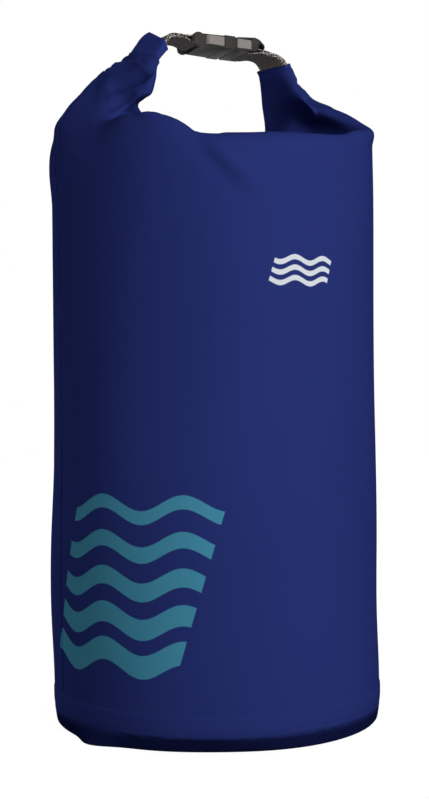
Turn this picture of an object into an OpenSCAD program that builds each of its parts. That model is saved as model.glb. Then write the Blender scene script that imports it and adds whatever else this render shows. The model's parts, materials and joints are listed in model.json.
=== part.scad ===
// Roll-top dry bag of about 20 litres, closed and filled.
// The mouth is rolled down round its stiffened hem, and the two ends of the roll are drawn up
// and buckled together, so that the roll, the webbing and the buckle make the carrying loop.
// Millimetres, +Z up, front towards -Y, origin at the middle of the base's underside.

/* [Bag] */
// Outside diameter of the filled tube
tube_d = 240; // [220:1:260]
// Height at which the tube starts to draw in towards the closure
shoulder_h = 390; // [370:1:400]
// Thickness of the coated sheet
sheet_t = 1.2; // [0.8:0.1:1.4]
// Radius of the rounded edge of the base
base_edge_r = 11; // [8:1:14]
// Height of the base panel's rim, which is welded round the foot of the tube
base_rim_h = 28; // [24:1:40]
// Side facets of the tube, one of which carries the lap weld
wall_sides = 48; // [36:12:60]
// How much higher the tube stands before it draws in at its sharp front right shoulder
corner_lift = 34; // [0:1:36]

/* [Rolled closure] */
// Height of the roll's centre line at its lowest point, which is also the fold axis
roll_z = 410; // [405:1:415]
// Half of the loop's width, at the roll's centre line
loop_half_w = 58; // [56:1:62]
// Half of the loop's height, at the roll's centre line
loop_half_h = 49; // [47:1:51]
// Squareness of the loop, 2 for an ellipse
loop_power = 4; // [3.6:0.2:4.4]
// How far round the loop the roll reaches each way from its lowest point, in degrees
roll_sweep = 119; // [117:1:120]
// How far to the right of the bag's axis the loop stands
loop_x = 1; // [0:1:4]
// How far the loop leans back, in degrees
loop_lean = 5; // [2:1:8]
// Turns of doubled sheet round the hem
roll_turns = 1.75; // [1.25:0.5:1.75]
// Thickness of the doubled sheet in the roll
roll_sheet_t = 1.1; // [0.9:0.1:1.2]
// Free space between the turns
roll_gap = 0.3; // [0.2:0.1:0.4]
// How much further than the roll the hem shows at the left end, in degrees
cuff_sweep = 15; // [10:1:16]

/* [Webbing] */
// Width of the webbing
webbing_w = 25; // [23:1:25]
// Thickness of the webbing, which is doubled where it passes round a bar
webbing_t = 1.2; // [1:0.1:1.2]

/* [Buckle] */
// Width of the buckle over its mouth
buckle_w = 34; // [34:1:36]
// Thickness of the buckle over its mouth
buckle_t = 9.6; // [9.4:0.1:10]
// How far the buckle's plug end hangs lower than its socket end, in degrees
buckle_tilt = 1; // [0:0.5:2]
// Running clearance of the levers on their pins, on the radius
pin_gap = 0.05; // [0.02:0.01:0.08]

/* [Hidden] */
$fn = 64;

tube_r = tube_d / 2;
weld_gap = 0.15;                                  // between two sheets that are welded together

// Rows of the wall: two on the straight tube, the rest on the shoulders that draw in to the roll
shoulder_rows = 12;
wall_rows = concat([0, 1], [for (k = [1:shoulder_rows]) 1 + k / shoulder_rows]);
wall_foot = base_edge_r;
rise_front = 215;                                 // how strongly the sheet stands up before it turns in
rise_side = 175;
corner_at = 65;                                   // angle of the sharp shoulder round the tube, and its reach
corner_reach = 75;
corner_rise = 0.45;                               // share of the rise that is left at the sharp shoulder
corner_run = 45;
corner_ridge = 7;                                 // how far its edge stands over the hollow beside the roll
crest_at = -48;                                   // angle at which the front rises to the roll's left end
crest_reach = 42;
crest_rise = 80;
run_front = 150;                                  // how strongly it runs in to the roll
run_side = 165;
rise_in = 0.65;                                   // slope up into the ends of the roll, at the sides
turn_up = 1.3;                                    // slope up under the middle of the roll
rim_half = 2.4;                                   // half of the gap between front and back sheet at the roll
rim_sweep = roll_sweep - 1;

// Half sizes of the nested ovals in the roll: across the band, and through it
oval_power = 4;
oval_sides = 16;
hem_wall = 1;
hem_bore = [webbing_w / 2 + 1.6, webbing_t + 0.85];
hem_out = hem_bore + [hem_wall, hem_wall];
roll_in = hem_out + [roll_gap, roll_gap];
roll_pitch = roll_sheet_t + roll_gap;
roll_out = roll_in + [1, 1] * (roll_pitch * roll_turns + roll_sheet_t);
rim_out = roll_out.y + 1.8;                       // the tube's rim stays clear of the roll as it folds
station = 8;                                      // the sheets along the loop bend at the same angles

stiffener_w = 24;
stiffener_t = 0.9;
stiffener_sweep = roll_sweep - 8;

// The buckle lies along its own x: the socket's strap end at 0, its mouth, then the plug's strap end
buckle_at = [-18.3, 0, 2 * loop_half_h - 4.2];
mouth_x = 35;
plug_end = 59;
bar_r = 1.9;
bar_gap = 0.15;
socket_bar_x = 4.4;
plug_bar_x = 49;
plug_bar_z = -2.5;
strap_window = webbing_w / 2 + 0.5;               // half the width of the window for the webbing
strap_room = 3.9;                                 // how far that window reaches from the middle of a bar
cheek_r = 5;
plate_t = 1.2;
cavity_half_t = buckle_t / 2 - plate_t;
lever_half_t = cavity_half_t - 0.2;
window_x = [9.8, 25.6];
plug_gap = 0.4;
guide_w = 7;
guide_t = 4.4;
pin_r = 1.5;
pin_x = 41;
pin_y = buckle_w / 2 - 3.2;
lever_end = pin_x + 4.8;                          // the rounded end of a lever's cheek
hood_x = [48.5, 51.5];                            // where the plug's top starts to slope, where its sides end
hood_slope = 28;
edge_cut = 0.6;                                   // chamfer along the plug's edges

function unit(p) = p / norm(p);
function mix(p, q, t) = p + (q - p) * t;
function arc(c, r, from, to, steps) =
    [for (k = [0:steps]) c + r * [cos(mix(from, to, k / steps)), sin(mix(from, to, k / steps))]];
function mirrored(points) =
    concat(points, [for (k = [len(points) - 1:-1:0]) [points[k].x, -points[k].y]]);

// A curve from p to q that leaves along tp and arrives along tq
function blend(p, tp, q, tq, v) =
    (2 * pow(v, 3) - 3 * pow(v, 2) + 1) * p + (pow(v, 3) - 2 * pow(v, 2) + v) * tp
    + (3 * pow(v, 2) - 2 * pow(v, 3)) * q + (pow(v, 3) - pow(v, 2)) * tq;

// A flat-sided oval: half sizes h, at angle a
function oval(h, a) = [h.x * sign(cos(a)) * pow(abs(cos(a)), 2 / oval_power),
                       h.y * sign(sin(a)) * pow(abs(sin(a)), 2 / oval_power)];

// The loop lies in a plane of its own: x across the bag, z up the leaning plane, y across the band
function loop_reach(phi) = pow(pow(abs(sin(phi)) / loop_half_w, loop_power)
                               + pow(abs(cos(phi)) / loop_half_h, loop_power), -1 / loop_power);
function loop_point(phi) = [loop_reach(phi) * sin(phi), 0, loop_half_h - loop_reach(phi) * cos(phi)];
function loop_outward(phi) =
    unit([sign(sin(phi)) * pow(abs(sin(phi)), loop_power - 1) / pow(loop_half_w, loop_power), 0,
          -sign(cos(phi)) * pow(abs(cos(phi)), loop_power - 1) / pow(loop_half_h, loop_power)]);
function stations(from, to) =
    concat([from], [for (k = [ceil(from / station - 0.01):-1:floor(to / station)])
                    if (k * station < from - 1 && k * station > to + 1) k * station], [to]);
function on_loop(phi, across, outward) =
    loop_point(phi) + [0, across, 0] + outward * loop_outward(phi);
function in_bag(p) = [loop_x + p.x, p.y + p.z * tan(loop_lean), roll_z + p.z];

// The tube: a is the angle round it, 0 at the front and growing to the right.
// Row 0 is the foot, row 1 the shoulder height, row 2 the rim along the roll.
function side_share(a) = abs(a) <= 90 ? a / 90 : sign(a) * (180 - abs(a)) / 90;
function rim_point(a) =
    in_bag(on_loop(rim_sweep * side_share(a), -sign(cos(a)) * min(1, 5 * abs(cos(a))) * rim_half, rim_out));
function swell(a, at, reach) = abs(a - at) < reach ? pow(cos(90 * (a - at) / reach), 2) : 0;
function corner_share(a) = swell(a, corner_at, corner_reach);
function shoulder_z(a) = shoulder_h + corner_lift * corner_share(a);
function shoulder_point(a, v) =
    let (s = side_share(a), middle = cos(90 * s), to_back = cos(a) > 0 ? 1 : -1, corner = corner_share(a))
    blend([tube_r * sin(a), -tube_r * cos(a), shoulder_z(a)],
          [0, 0, (mix(rise_side, rise_front, middle) + crest_rise * swell(a, crest_at, crest_reach))
                 * mix(1, corner_rise, corner)],
          rim_point(a),
          mix(mix(run_side, corner_run, corner) * unit([-s, 0, rise_in]),
              run_front * unit([0, to_back, turn_up]), middle),
          v) + [0, 0, corner_ridge * corner * pow(sin(180 * v), 2)];
function wall_point(a, row) =
    row <= 1 ? [tube_r * sin(a), -tube_r * cos(a), mix(wall_foot, shoulder_z(a), row)]
             : shoulder_point(a, row - 1);
function wall_normal(a, row) =
    let (round = wall_point(a + 1, row) - wall_point(a - 1, row),
         up = wall_point(a, min(2, row + 0.02)) - wall_point(a, max(0, row - 0.02)))
    unit(cross(round, up));
function off_wall(a, row, d) = wall_point(a, row) + d * wall_normal(a, row);
function wrapped(a) = a > 180 ? a - 360 : a;

// Closed solid between two grids of points, rows of equal length. Round grids meet themselves.
module thick_sheet(outer, inner, round = false) {
    rows = len(outer);
    cols = len(outer[0]);
    last = round ? cols - 1 : cols - 2;
    function at(side, r, c) = (side * rows + r) * cols + c % cols;
    function two(p, q, r, s) = [[p, q, r], [p, r, s]];
    skins = [for (r = [0:rows - 2], c = [0:last])
        each concat(two(at(0, r, c), at(0, r + 1, c), at(0, r + 1, c + 1), at(0, r, c + 1)),
                    two(at(1, r, c), at(1, r, c + 1), at(1, r + 1, c + 1), at(1, r + 1, c)))];
    ends = [for (c = [0:last])
        each concat(two(at(0, 0, c), at(0, 0, c + 1), at(1, 0, c + 1), at(1, 0, c)),
                    two(at(0, rows - 1, c), at(1, rows - 1, c),
                        at(1, rows - 1, c + 1), at(0, rows - 1, c + 1)))];
    sides = round ? [] : [for (r = [0:rows - 2])
        each concat(two(at(0, r, 0), at(1, r, 0), at(1, r + 1, 0), at(0, r + 1, 0)),
                    two(at(0, r, cols - 1), at(0, r + 1, cols - 1),
                        at(1, r + 1, cols - 1), at(1, r, cols - 1)))];
    polyhedron(concat([for (row = outer) each row], [for (row = inner) each row]),
               concat(skins, ends, sides));
}

// The loop leans back, but the band stays level across
module place_loop() {
    multmatrix([[1, 0, 0, loop_x], [0, 1, tan(loop_lean), 0], [0, 0, 1, roll_z]]) children();
}

module place_buckle() {
    translate(in_bag(buckle_at)) rotate([0, buckle_tilt, 0]) children();
}

// A plate outline drawn in the buckle's own x and z, as wide as w across the band
module across_band(w) {
    translate([0, w / 2, 0]) rotate([90, 0, 0]) linear_extrude(w) children();
}

module tube_wall() {
    angles = [for (i = [0:wall_sides - 1]) wrapped(360 * i / wall_sides)];
    color("midnightblue") thick_sheet(
        [for (row = wall_rows) [for (a = angles) wall_point(a, row)]],
        [for (row = wall_rows) [for (a = angles) off_wall(a, row, -sheet_t)]],
        round = true);
}

// The tube's closing edge, lapped over itself on one facet at the left-hand side
module side_seam_lap() {
    facet = 360 / wall_sides;
    rim_row = base_rim_h + 1;
    rows = concat([(rim_row - wall_foot) / (shoulder_h - wall_foot)],
                  [for (k = [1:shoulder_rows]) wall_rows[k]]);
    color("midnightblue") thick_sheet(
        [for (row = rows) [for (a = [-90 - facet, -90]) off_wall(a, row, weld_gap + sheet_t)]],
        [for (row = rows) [for (a = [-90 - facet, -90]) off_wall(a, row, weld_gap)]]);
}

// A round dish: flat underside, rounded edge, and a rim that laps the foot of the tube
module base_panel() {
    out_r = tube_r + weld_gap + sheet_t;
    edge_in = base_edge_r - sheet_t;
    corner = [out_r - base_edge_r, base_edge_r];
    color("midnightblue") rotate_extrude() polygon(concat(
        [[0, 0]], arc(corner, base_edge_r, -90, 0, 10),
        [[out_r, base_rim_h], [out_r - sheet_t, base_rim_h]],
        arc(corner, edge_in, 0, -90, 10), [[0, sheet_t]]));
}

// The doubled sheet of the mouth, wound round the hem and swept along the loop
module rolled_collar() {
    turns = [for (k = [0:oval_sides * roll_turns]) 90 + 360 * (k / oval_sides - roll_turns)];
    function spiral(a, t) = oval(roll_in + [1, 1] * (roll_pitch * (roll_turns + (a - 90) / 360) + t), a);
    function rows(t) = [for (phi = stations(roll_sweep, -roll_sweep))
        [for (a = turns) let (p = spiral(a, t)) on_loop(phi, p.x, p.y)]];
    color("midnightblue") place_loop() thick_sheet(rows(roll_sheet_t), rows(0));
}

// The flat sleeve along the mouth's edge, open at both ends for the webbing
module mouth_hem() {
    angles = [for (i = [0:oval_sides - 1]) 360 * i / oval_sides];
    function rows(h) = [for (phi = stations(roll_sweep + 3, -roll_sweep - cuff_sweep))
        [for (a = angles) let (p = oval(h, a)) on_loop(phi, p.x, p.y)]];
    color("navy") place_loop() thick_sheet(rows(hem_out), rows(hem_bore), round = true);
}

// One of the two plastic strips in the hem, from one face of it to the other
module stiffener(from, to) {
    function rows(outward) = [for (phi = stations(stiffener_sweep, -stiffener_sweep))
        [for (y = [stiffener_w / 2, -stiffener_w / 2]) on_loop(phi, y, outward)]];
    color("whitesmoke") place_loop() thick_sheet(rows(to), rows(from));
}

module front_stiffener() {
    stiffener(0.1, 0.1 + stiffener_t);
}

module back_stiffener() {
    stiffener(-0.1 - stiffener_t, -0.1);
}

// Doubled webbing in the loop's plane: round a bar at [x, z], then along the loop through these angles
module webbing(bar, angles) {
    path = concat([bar], [for (phi = angles) let (p = loop_point(phi)) [p.x, p.z]]);
    count = len(path);
    function along(k) = unit(path[min(k + 1, count - 1)] - path[max(k - 1, 0)]);
    function beside(k, d) = path[k] + d * [-along(k).y, along(k).x];
    ring = bar_r + bar_gap;
    color("dimgray") place_loop() difference() {
        union() {
            across_band(webbing_w) translate(bar) circle(ring + webbing_t);
            across_band(webbing_w) polygon(concat([for (k = [0:count - 1]) beside(k, webbing_t)],
                                                  [for (k = [count - 1:-1:0]) beside(k, -webbing_t)]));
        }
        across_band(2 * webbing_w) translate(bar) circle(ring);
    }
}

// A point of the buckle's own x and z, in the loop's plane
function from_buckle(x, z) = [buckle_at.x + x * cos(buckle_tilt) + z * sin(buckle_tilt),
                              buckle_at.z - x * sin(buckle_tilt) + z * cos(buckle_tilt)];

module left_webbing() {
    angles = stations(-roll_sweep - 2, -roll_sweep - cuff_sweep);
    webbing(from_buckle(socket_bar_x, 0), [for (k = [len(angles) - 1:-1:0]) angles[k]]);
}

module right_webbing() {
    webbing(from_buckle(plug_bar_x, plug_bar_z), stations(roll_sweep + 4, roll_sweep - 6));
}

module strap_bar(x, z) {
    translate([x, 0, z]) rotate([90, 0, 0]) cylinder(h = 2 * strap_window + 1, r = bar_r, center = true);
}

// Female half: two cheeks that carry the strap bar, then a flat box with a window in each side
module buckle_socket() {
    half_w = buckle_w / 2;
    half_t = buckle_t / 2;
    cavity_x = socket_bar_x + strap_room + plate_t;
    color("darkslategray") place_buckle() {
        difference() {
            intersection() {
                linear_extrude(3 * cheek_r, center = true) polygon(mirrored(
                    [[-0.5, half_w - 2.6], [1, half_w - 1.2], [9, half_w - 1],
                     [window_x[1] - 0.5, half_w - 0.6], [window_x[1] + 0.3, half_w],
                     [mouth_x - 1, half_w], [mouth_x, half_w - 1]]));
                across_band(2 * buckle_w) polygon(concat(
                    arc([socket_bar_x, 0], cheek_r, 55, 305, 20),
                    [[window_x[1] - 1.5, -half_t + 0.4], [window_x[1], -half_t],
                     [mouth_x - 1, -half_t], [mouth_x, -half_t + 0.8],
                     [mouth_x, half_t - 0.8], [mouth_x - 1, half_t],
                     [window_x[1], half_t], [window_x[1] - 1.5, half_t - 0.4]]));
            }
            // Window for the webbing, cavity for the plug, and the side windows for the levers
            translate([socket_bar_x + strap_room - 20, -strap_window, -buckle_t])
                cube([20, 2 * strap_window, 2 * buckle_t]);
            translate([cavity_x, 2.1 - half_w, -cavity_half_t])
                cube([mouth_x, buckle_w - 4.2, 2 * cavity_half_t]);
            translate([window_x[0], -buckle_w, -cavity_half_t])
                cube([window_x[1] - window_x[0], 2 * buckle_w, 2 * cavity_half_t]);
        }
        strap_bar(socket_bar_x, 0);
    }
}

// Male half: two plates that hold the levers, a guide tongue, and a hood that slopes down over the strap bar
module buckle_plug() {
    half_w = buckle_w / 2 - 0.4;
    half_t = buckle_t / 2 - 0.1;
    core = pin_y - 3.6;
    start = mouth_x + plug_gap;
    function hood_z(x) = half_t - max(0, x - hood_x[0]) * tan(hood_slope);
    color("dimgray") place_buckle() {
        difference() {
            intersection() {
                linear_extrude(3 * cheek_r, center = true) polygon(mirrored(concat(
                    [[start, half_w - edge_cut], [start + edge_cut, half_w], [hood_x[1], half_w - edge_cut]],
                    arc([plug_end - 3, half_w - 4], 3, 80, 0, 5))));
                across_band(2 * buckle_w) polygon(
                    [[start, half_t - edge_cut], [start, edge_cut - half_t], [start + edge_cut, -half_t],
                     [hood_x[1] - 2 * edge_cut, -half_t], [hood_x[1], 2 * edge_cut - half_t],
                     [hood_x[1] + edge_cut, hood_z(hood_x[1]) - plate_t - edge_cut],
                     [plug_end - edge_cut, hood_z(plug_end) - plate_t],
                     [plug_end, hood_z(plug_end) - plate_t / 2],
                     [plug_end - edge_cut, hood_z(plug_end - edge_cut)],
                     [hood_x[0], half_t], [start + edge_cut, half_t]]);
            }
            // Pockets for the levers, open at the sides
            for (side = [-1, 1])
                translate([mouth_x, side * (core + buckle_w / 2) - buckle_w / 2, -cavity_half_t])
                    cube([lever_end + 0.4 - mouth_x, buckle_w, 2 * cavity_half_t]);
            // Room for the webbing round the bar and under the hood
            across_band(2 * strap_window) polygon(
                [[plug_bar_x - strap_room, -buckle_t], [plug_end + 1, -buckle_t],
                 [plug_end + 1, hood_z(plug_end + 1) - plate_t],
                 [plug_bar_x - strap_room, hood_z(plug_bar_x - strap_room) - plate_t]]);
        }
        strap_bar(plug_bar_x, plug_bar_z);
        for (side = [-1, 1]) translate([pin_x, side * pin_y, 0])
            cylinder(h = 2 * cavity_half_t, r = pin_r, center = true);
        translate([window_x[0] - 0.2, -guide_w / 2, -guide_t / 2])
            cube([start + 2 - window_x[0], guide_w, guide_t]);
    }
}

// Squeeze lever of one side: a head in the socket's window, a shank, and a cheek on the plug's pin
module lever(side) {
    half_w = buckle_w / 2;
    color("darkgray") place_buckle() difference() {
        linear_extrude(2 * lever_half_t, center = true) polygon([for (p = concat(
            [[window_x[0] + 0.5, half_w - 5], [mouth_x + 1, half_w - 5.2], [lever_end - 1, half_w - 5.6]],
            arc([lever_end - 2.4, half_w - 2.2], 2.4, 0, 90, 6),
            [[mouth_x + 1.6, half_w + 0.2], [mouth_x + 0.8, half_w - 0.6], [mouth_x + 0.6, half_w - 2.6],
             [window_x[1] - 0.4, half_w - 2.6], [window_x[1] - 0.4, half_w - 0.5]],
            arc([window_x[0] + 4.5, half_w - 3.4], 4, 70, 180, 6))) [p.x, side * p.y]]);
        translate([pin_x, side * pin_y, 0])
            cylinder(h = buckle_t, r = pin_r + pin_gap, center = true);
    }
}

module front_lever() {
    lever(-1);
}

module back_lever() {
    lever(1);
}

tube_wall();
side_seam_lap();
base_panel();
rolled_collar();
mouth_hem();
front_stiffener();
back_stiffener();
left_webbing();
right_webbing();
buckle_socket();
buckle_plug();
front_lever();
back_lever();
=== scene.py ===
# %% [markdown]
# # A roll-top dry bag, dressed in Blender
# The solids of the bag come in as a fixed frame: a round tube of coated fabric, a mouth that is
# rolled down and drawn up into a loop, and a side-release buckle that closes the loop.
# This lesson makes what you see of it: the soft skin, the folds, the webbing and the plastic.
# The frame is loaded first, and its solids are kept. The dressed bag has to stay close to it.

# %% Load the frame
import json
import math

import bpy
import numpy as np
from mathutils import Matrix, Vector


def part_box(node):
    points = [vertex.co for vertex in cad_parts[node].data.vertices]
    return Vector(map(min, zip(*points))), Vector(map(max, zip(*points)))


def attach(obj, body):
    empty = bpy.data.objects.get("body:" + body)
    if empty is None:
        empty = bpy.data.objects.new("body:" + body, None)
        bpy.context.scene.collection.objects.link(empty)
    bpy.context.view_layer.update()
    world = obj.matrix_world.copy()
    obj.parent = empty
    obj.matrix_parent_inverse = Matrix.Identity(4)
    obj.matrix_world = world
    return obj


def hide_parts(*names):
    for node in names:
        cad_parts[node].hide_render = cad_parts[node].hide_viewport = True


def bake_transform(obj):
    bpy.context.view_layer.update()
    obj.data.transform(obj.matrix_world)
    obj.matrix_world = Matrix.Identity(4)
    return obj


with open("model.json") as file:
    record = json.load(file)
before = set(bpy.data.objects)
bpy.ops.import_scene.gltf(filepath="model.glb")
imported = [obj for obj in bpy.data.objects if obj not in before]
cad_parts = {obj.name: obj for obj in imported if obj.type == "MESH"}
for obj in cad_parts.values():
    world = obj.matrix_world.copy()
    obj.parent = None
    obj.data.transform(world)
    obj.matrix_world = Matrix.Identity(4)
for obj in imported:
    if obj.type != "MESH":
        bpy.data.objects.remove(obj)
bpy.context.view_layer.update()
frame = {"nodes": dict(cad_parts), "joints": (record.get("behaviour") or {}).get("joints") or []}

MM = 0.001
print("solids:", sorted(frame["nodes"]))

# %% [markdown]
# ## The camera
# The photograph was taken from a little left of the front, at half the bag's height, with a long
# lens. A camera is a place, a direction and a focal length. The same numbers are also used as a
# plain function that says where a point of the bag appears in the picture, which is how folds that
# can only be seen there are put in their place.

# %% Camera and picture
PICTURE_W, PICTURE_H = 429, 800
YAW = math.radians(-25)
EYE_DISTANCE = 1000.0
EYE_HEIGHT = 235.0
EYE_ASIDE = 0.8
FOCAL_PX = 1330.0
TIP_TO_SIDE = math.radians(0.5)
SENSOR_H = 24.0

look = np.array([-math.sin(YAW), math.cos(YAW), 0.0])
rightward = np.array([math.cos(YAW), math.sin(YAW), 0.0])
up = np.array([0.0, 0.0, 1.0])
eye = up * EYE_HEIGHT - look * EYE_DISTANCE + rightward * EYE_ASIDE


def in_picture(points):
    """Where points of the bag, in millimetres, appear in the picture, and how far away they are."""
    depth = EYE_DISTANCE + points @ look
    across = FOCAL_PX * (points @ rightward - EYE_ASIDE) / depth
    down = FOCAL_PX * (EYE_HEIGHT - points[..., 2]) / depth
    cos_tip, sin_tip = math.cos(TIP_TO_SIDE), math.sin(TIP_TO_SIDE)
    column = PICTURE_W / 2 + across * cos_tip + down * sin_tip
    row = PICTURE_H / 2 - across * sin_tip + down * cos_tip
    return np.stack([column, row], -1), depth


camera_data = bpy.data.cameras.new("camera")
camera_data.sensor_fit = "VERTICAL"
camera_data.sensor_height = SENSOR_H
camera_data.lens = FOCAL_PX * SENSOR_H / PICTURE_H
camera = bpy.data.objects.new("camera", camera_data)
bpy.context.scene.collection.objects.link(camera)
camera_right = math.cos(TIP_TO_SIDE) * rightward - math.sin(TIP_TO_SIDE) * up
camera_up = math.cos(TIP_TO_SIDE) * up + math.sin(TIP_TO_SIDE) * rightward
camera.matrix_world = Matrix([
    [*row, place] for row, place in zip(np.stack([camera_right, camera_up, -look], 1), eye * MM)
] + [[0, 0, 0, 1]])
bpy.context.scene.camera = camera
print("camera lens", round(camera_data.lens, 1), "mm")

# %% [markdown]
# ## Small tools
# Every piece is made as by hand: an object is made active, edited, and its modifiers are applied.
# These helpers keep that short. `thick_sheet` closes two grids of points into one thin wall, which
# is what every sleeve and fold of this bag is.

# %% Helpers for meshes


def activate(piece):
    bpy.ops.object.select_all(action="DESELECT")
    piece.select_set(True)
    bpy.context.view_layer.objects.active = piece


def apply_modifier(piece, kind, **settings):
    activate(piece)
    modifier = piece.modifiers.new(kind.lower(), kind)
    for key, value in settings.items():
        setattr(modifier, key, value)
    bpy.ops.object.modifier_apply(modifier=modifier.name)


def edit(piece, *steps):
    """Runs edit-mode operators, each given as (operator, settings), on the whole of a piece."""
    activate(piece)
    bpy.ops.object.mode_set(mode="EDIT")
    bpy.ops.mesh.select_all(action="SELECT")
    for operator, settings in steps:
        operator(**settings)
    bpy.ops.object.mode_set(mode="OBJECT")


def face_out(piece):
    edit(piece, (bpy.ops.mesh.normals_make_consistent, {"inside": False}))


def join(piece, other):
    activate(piece)
    other.select_set(True)
    bpy.ops.object.join()


def smooth_shading(piece, angle=35):
    activate(piece)
    bpy.ops.object.shade_smooth_by_angle(angle=math.radians(angle))


def mesh_piece(name, points, faces):
    """A new object from points in millimetres."""
    mesh = bpy.data.meshes.new(name)
    mesh.from_pydata((np.asarray(points) * MM).tolist(), [], faces)
    mesh.update()
    piece = bpy.data.objects.new(name, mesh)
    bpy.context.scene.collection.objects.link(piece)
    return piece


def vectors_of(piece, what):
    flat = np.zeros(len(piece.data.vertices) * 3)
    piece.data.vertices.foreach_get(what, flat)
    return flat.reshape(-1, 3)


def points_of(piece):
    return vectors_of(piece, "co") / MM


def set_points(piece, points):
    piece.data.vertices.foreach_set("co", (points * MM).ravel())
    piece.data.update()


def grid_faces(rows, cols, start=0, round_grid=False):
    last = cols if round_grid else cols - 1
    return [(start + r * cols + c, start + r * cols + (c + 1) % cols,
             start + (r + 1) * cols + (c + 1) % cols, start + (r + 1) * cols + c)
            for r in range(rows - 1) for c in range(last)]


def thick_sheet(name, outer, inner, round_grid=False):
    """A closed wall between two grids of points; a round grid meets itself."""
    rows, cols = outer.shape[:2]
    count = rows * cols
    faces = grid_faces(rows, cols, 0, round_grid)
    faces += [face[::-1] for face in grid_faces(rows, cols, count, round_grid)]
    for row in (0, rows - 1):
        for c in range(cols if round_grid else cols - 1):
            a, b = row * cols + c, row * cols + (c + 1) % cols
            faces.append((a, a + count, b + count, b) if row == 0 else (b, b + count, a + count, a))
    if not round_grid:
        for col in (0, cols - 1):
            for r in range(rows - 1):
                a, b = r * cols + col, (r + 1) * cols + col
                faces.append((b, b + count, a + count, a) if col == 0 else (a, a + count, b + count, b))
    piece = mesh_piece(name, np.concatenate([outer.reshape(-1, 3), inner.reshape(-1, 3)]), faces)
    face_out(piece)
    return piece


def report(piece):
    corners = points_of(piece)
    triangles = sum(len(face.vertices) - 2 for face in piece.data.polygons)
    low, high = corners.min(0).round(1), corners.max(0).round(1)
    print(f"{piece.name}: {triangles} triangles, from {low} to {high} mm")


# %% [markdown]
# ## Curves that the whole bag shares
# The roll follows a loop that stands up from the bag: flat at the bottom, with two arms that rise at
# the sides. A position on it is an angle from its lowest point. Near the ends the rolled band is
# twisted a little, so that its broad side turns to the front left, as in the photograph.

# %% The loop of the roll
TUBE_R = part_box("tube_wall")[1].x / MM
HINGE = np.array(next(j["pos_m"] for j in frame["joints"] if j["name"] == "closure_tilt")) / MM
LOOP_HALF = np.array([58.0, 49.0])
LOOP_POWER = 4.0
LEAN_BACK = math.tan(math.radians(5))
LEFT_END, RIGHT_END = -119.5, 121.5
TOP_ASIDE, TOP_FROM, TOP_OVER = 2.8, 80.0, 39.0
ARM_TWIST, TWIST_FROM, TWIST_OVER = {"left": 27.0, "right": 20.0}, 35.0, 45.0
TIP_SLANT, SLANT_FROM, SLANT_OVER = {"left": 0.08, "right": 0.16}, 90.0, 29.0


def unit(v):
    return v / np.linalg.norm(v, axis=-1, keepdims=True)


def ease(t):
    t = np.clip(t, 0, 1)
    return t * t * (3 - 2 * t)


def through(x, *stops):
    """A smooth curve through (position, value) stops."""
    at, value = np.array(stops, float).T
    k = np.clip(np.searchsorted(at, x) - 1, 0, len(at) - 2)
    return value[k] + (value[k + 1] - value[k]) * ease((x - at[k]) / (at[k + 1] - at[k]))


def hermite(t, start, leave, end, arrive):
    """A curve from start to end, with the directions in which it leaves and arrives."""
    return ((2 * t**3 - 3 * t**2 + 1) * start + (t**3 - 2 * t**2 + t) * leave
            + (3 * t**2 - 2 * t**3) * end + (t**3 - t**2) * arrive)


def stack(*parts):
    return np.stack(np.broadcast_arrays(*parts), -1)


def in_bag(p):
    """From the loop's own plane (x, across the band, up) to the bag."""
    return HINGE + stack(p[..., 0], p[..., 1] + LEAN_BACK * p[..., 2], p[..., 2])


def loop_point(phi):
    s, c = np.sin(np.radians(phi)), np.cos(np.radians(phi))
    full = (abs(s) / LOOP_HALF[0]) ** LOOP_POWER + (abs(c) / LOOP_HALF[1]) ** LOOP_POWER
    reach = full ** (-1 / LOOP_POWER)
    aside = TOP_ASIDE * ease((abs(phi) - TOP_FROM) / TOP_OVER)
    return stack(reach * s + aside, 0.0, LOOP_HALF[1] - reach * c)


def loop_outward(phi):
    s, c = np.sin(np.radians(phi)), np.cos(np.radians(phi))
    return unit(stack(np.sign(s) * abs(s) ** (LOOP_POWER - 1) / LOOP_HALF[0] ** LOOP_POWER, 0.0,
                      -np.sign(c) * abs(c) ** (LOOP_POWER - 1) / LOOP_HALF[1] ** LOOP_POWER))


def by_side(phi, choice):
    return np.where(phi < 0, choice["left"], choice["right"])


def on_band(phi, across, outward):
    """A point of the twisted band, in the bag: across it, and outward from the loop's line."""
    slant = by_side(phi, TIP_SLANT) * ease((abs(phi) - SLANT_FROM) / SLANT_OVER)
    phi = phi + np.sign(phi) * slant * across
    turn = -np.sign(phi) * np.radians(by_side(phi, ARM_TWIST)) * ease((abs(phi) - TWIST_FROM) / TWIST_OVER)
    normal, width = loop_outward(phi), np.array([0.0, 1.0, 0.0])
    along_width = across * np.cos(turn) - outward * np.sin(turn)
    along_normal = across * np.sin(turn) + outward * np.cos(turn)
    return in_bag(loop_point(phi) + along_width[..., None] * width + along_normal[..., None] * normal)


print("loop stands over", HINGE.round(1), "mm")

# %% [markdown]
# ## The skin
# The filled tube is one sheet: round below, drawn in above. Each column of the loft leaves the
# shoulder straight up, and arrives at the roll from below. How strongly it rises before it turns in
# differs round the bag, and that makes the low front, the crest at the left and the sharp shoulder
# at the right. A cloth simulation could drape such a sheet too, but a loft keeps its outline where the
# photograph has it. The shell is closed, so that it can be merged with the roll afterwards.

# %% Loft of the tube
SHOULDER_Z = 390.0
CORNER_LIFT, CORNER_AT, CORNER_REACH, CORNER_RIDGE = 34.0, 65.0, 75.0, 7.0
FOOT_Z = 9.0
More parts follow.
